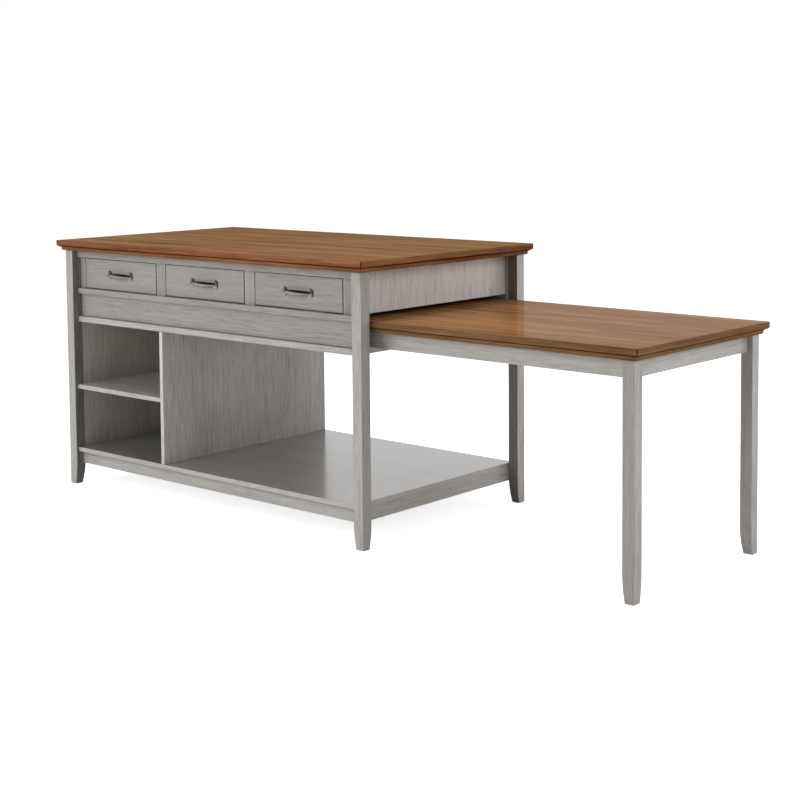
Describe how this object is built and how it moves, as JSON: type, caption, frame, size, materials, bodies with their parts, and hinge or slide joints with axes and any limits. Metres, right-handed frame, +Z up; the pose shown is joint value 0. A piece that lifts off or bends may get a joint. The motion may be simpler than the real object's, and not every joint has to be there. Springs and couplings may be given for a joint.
{
  "type": "kitchen island with pull-out table",
  "caption": "Grey painted wooden kitchen island with a stained top, drawers with bowed metal pulls, open shelf bays, and a lower table that slides out of one end on its own legs.",
  "frame": {"origin": "On the floor, in the middle of the box of the whole object with its table pulled out.", "axes": "+X along the island towards the pull-out table, -Y towards the drawer front, +Z up."},
  "size_m": [2.49, 0.888, 0.914],
  "materials": {
    "stained_wood": "brown stain with a semi-gloss clear coat",
    "painted_wood": "grey brushed paint over wood grain, matt",
    "drawer_wood": "pale unfinished wood, matt",
    "pull_metal": "dark antique pewter, satin"
  },
  "bodies": {
    "island": {"island_top_panel": "stained_wood", "island_top_moulding": "stained_wood", "leg_front_left": "painted_wood", "leg_front_right": "painted_wood", "leg_back_left": "painted_wood", "leg_back_right": "painted_wood", "front_top_rail": "painted_wood", "front_mid_rail": "painted_wood", "front_bottom_rail": "painted_wood", "front_wide_panel": "painted_wood", "front_stile_1": "painted_wood", "front_stile_2": "painted_wood", "front_stile_3": "painted_wood", "front_stile_4": "painted_wood", "left_side_panel": "painted_wood", "right_side_panel": "painted_wood", "right_lower_rail": "painted_wood", "back_panel": "painted_wood", "bottom_shelf": "painted_wood", "front_skirt": "painted_wood", "back_skirt": "painted_wood", "left_skirt": "painted_wood", "right_skirt": "painted_wood", "bay_divider": "painted_wood", "bay_back_panel": "painted_wood", "bay_shelf_front": "painted_wood", "bay_shelf_back": "painted_wood", "drawer_deck": "drawer_wood", "drawer_guide_1": "drawer_wood", "drawer_guide_2": "drawer_wood", "drawer_guide_3": "drawer_wood", "drawer_guide_4": "drawer_wood", "table_guide_front": "drawer_wood", "table_guide_back": "drawer_wood"},
    "drawer_left": {"drawer_1_front": "painted_wood", "drawer_1_side_left": "drawer_wood", "drawer_1_side_right": "drawer_wood", "drawer_1_bottom": "drawer_wood", "drawer_1_back": "drawer_wood", "drawer_1_pull": "pull_metal"},
    "drawer_middle": {"drawer_2_front": "painted_wood", "drawer_2_side_left": "drawer_wood", "drawer_2_side_right": "drawer_wood", "drawer_2_bottom": "drawer_wood", "drawer_2_back": "drawer_wood", "drawer_2_pull": "pull_metal"},
    "drawer_right": {"drawer_3_front": "painted_wood", "drawer_3_side_left": "drawer_wood", "drawer_3_side_right": "drawer_wood", "drawer_3_bottom": "drawer_wood", "drawer_3_back": "drawer_wood", "drawer_3_pull": "pull_metal"},
    "table": {"table_top_panel": "stained_wood", "table_top_moulding": "stained_wood", "table_leg_front": "painted_wood", "table_leg_back": "painted_wood", "table_end_apron": "painted_wood", "table_apron_front": "painted_wood", "table_apron_back": "painted_wood", "table_inner_rail": "painted_wood"}
  },
  "joints": [
    {"name": "drawer_left_slide", "type": "slide", "parent": "island", "child": "drawer_left", "axis": [0, -1, 0], "range_m": [0, 0.33]},
    {"name": "drawer_middle_slide", "type": "slide", "parent": "island", "child": "drawer_middle", "axis": [0, -1, 0], "range_m": [0, 0.33]},
    {"name": "drawer_right_slide", "type": "slide", "parent": "island", "child": "drawer_right", "axis": [0, -1, 0], "range_m": [0, 0.33]},
    {"name": "table_slide", "type": "slide", "parent": "island", "child": "table", "axis": [1, 0, 0], "range_m": [-0.95, 0]}
  ]
}
